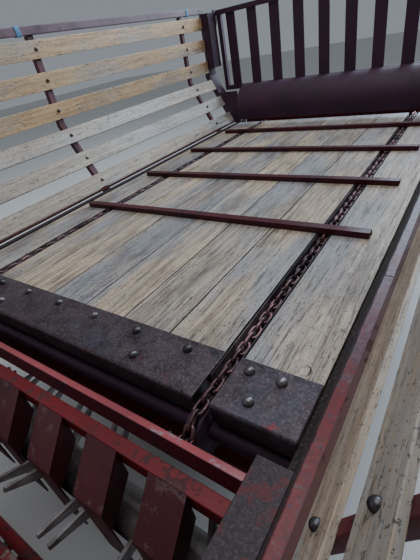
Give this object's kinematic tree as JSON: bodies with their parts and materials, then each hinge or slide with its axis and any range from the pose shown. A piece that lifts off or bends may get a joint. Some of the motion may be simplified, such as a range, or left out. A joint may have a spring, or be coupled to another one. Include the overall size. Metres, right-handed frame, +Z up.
{
  "type": "self-loading hay wagon",
  "caption": "Self-loading hay wagon: plank bed with a scraper floor, slatted flared sides, hinged tailgate, feeder and pick-up in front, axle, drawbar and jack.",
  "frame": {"origin": "on the ground under the middle of the wagon's bounding box", "axes": "+Z up, +Y from the tow eye towards the tailgate, +X to the right when looking towards the tailgate"},
  "size_m": [2.376, 5.404, 1.941],
  "materials": {
    "planks": "weathered, rough sawn",
    "boards": "weathered, planed",
    "frame_paint": "worn red paint with rust",
    "rail_paint": "faded red paint",
    "dark_paint": "dark worn paint",
    "gate_paint": "dark purple-red paint",
    "rim_paint": "dull cream paint",
    "worn_plate": "worn, brown-grey",
    "chain_steel": "dark, polished where it rubs",
    "cast_iron": "rough cast, painted",
    "tine_steel": "worn grey",
    "band_steel": "worn red sheet",
    "bare_steel": "bare, slightly rusty",
    "spring_steel": "black, dusty",
    "tyre": "dusty rubber",
    "lamp": "red lens"
  },
  "bodies": {
    "wagon": {"axle_beam": "frame_paint", "chain_troughs": "worn_plate", "channel_cheeks": "dark_paint", "chassis_beams": "frame_paint", "cross_members": "frame_paint", "cross_shaft": "bare_steel", "drawbar": "frame_paint", "drive_guard": "frame_paint", "floor_front_plate": "worn_plate", "floor_planks": "planks", "front_idlers": "chain_steel", "front_wall_frame": "frame_paint", "gearbox": "cast_iron", "guide_sheet": "band_steel", "jack_housing": "frame_paint", "leaf_springs": "spring_steel", "outrigger_posts": "frame_paint", "outrigger_tubes": "frame_paint", "rear_drive_shaft": "chain_steel", "rear_posts": "gate_paint", "scraper_chains": "chain_steel", "scraper_drive": "frame_paint", "scraper_slats": "dark_paint", "shaft_bearings": "cast_iron", "side_boards_left": "boards", "side_boards_right": "boards", "side_channels": "frame_paint", "side_frame_left": "frame_paint", "side_frame_right": "frame_paint", "spring_hangers": "frame_paint", "stripper_beam": "frame_paint", "stripper_plates": "dark_paint", "tail_lamps": "lamp", "top_rail_left": "rail_paint", "top_rail_right": "rail_paint", "tow_eye": "bare_steel"},
    "wheel_left": {"rim_left": "rim_paint", "tyre_left": "tyre"},
    "wheel_right": {"rim_right": "rim_paint", "tyre_right": "tyre"},
    "pickup": {"pickup_sides": "frame_paint", "pickup_ties": "frame_paint", "pickup_bands": "band_steel", "crop_guard": "band_steel"},
    "reel": {"pickup_reel": "tine_steel"},
    "gauge_left": {"gauge_wheel_left": "tyre"},
    "gauge_right": {"gauge_wheel_right": "tyre"},
    "feeder": {"feeder_rotor": "tine_steel", "feeder_stubs": "bare_steel"},
    "tailgate": {"tailgate_frame": "gate_paint", "tailgate_sheet": "gate_paint"},
    "jack": {"jack_leg": "bare_steel"}
  },
  "joints": [
    {"name": "wheel_left_spin", "type": "hinge", "parent": "wagon", "child": "wheel_left", "pos_m": [0.75, 1.265, 0.37], "axis": [1, 0, 0], "continuous": true},
    {"name": "wheel_right_spin", "type": "hinge", "parent": "wagon", "child": "wheel_right", "pos_m": [-0.75, 1.265, 0.37], "axis": [1, 0, 0], "continuous": true},
    {"name": "pickup_lift", "type": "hinge", "parent": "wagon", "child": "pickup", "pos_m": [0, -0.64, 0.56], "axis": [1, 0, 0], "range_deg": [0, 21.5]},
    {"name": "reel_spin", "type": "hinge", "parent": "pickup", "child": "reel", "pos_m": [0, -1.05992, 0.42984], "axis": [1, 0, 0], "continuous": true},
    {"name": "gauge_left_spin", "type": "hinge", "parent": "pickup", "child": "gauge_left", "pos_m": [0.88, -1.08617, 0.30046], "axis": [1, 0, 0], "continuous": true},
    {"name": "gauge_right_spin", "type": "hinge", "parent": "pickup", "child": "gauge_right", "pos_m": [-0.88, -1.08617, 0.30046], "axis": [1, 0, 0], "continuous": true},
    {"name": "feeder_spin", "type": "hinge", "parent": "wagon", "child": "feeder", "pos_m": [0, -0.575, 0.655], "axis": [1, 0, 0], "continuous": true},
    {"name": "tailgate_swing", "type": "hinge", "parent": "wagon", "child": "tailgate", "pos_m": [0, 2.63, 1.889], "axis": [1, 0, 0], "range_deg": [0, 90]},
    {"name": "jack_slide", "type": "slide", "parent": "wagon", "child": "jack", "axis": [0, 0, 1], "range_m": [0, 0.35]}
  ]
}
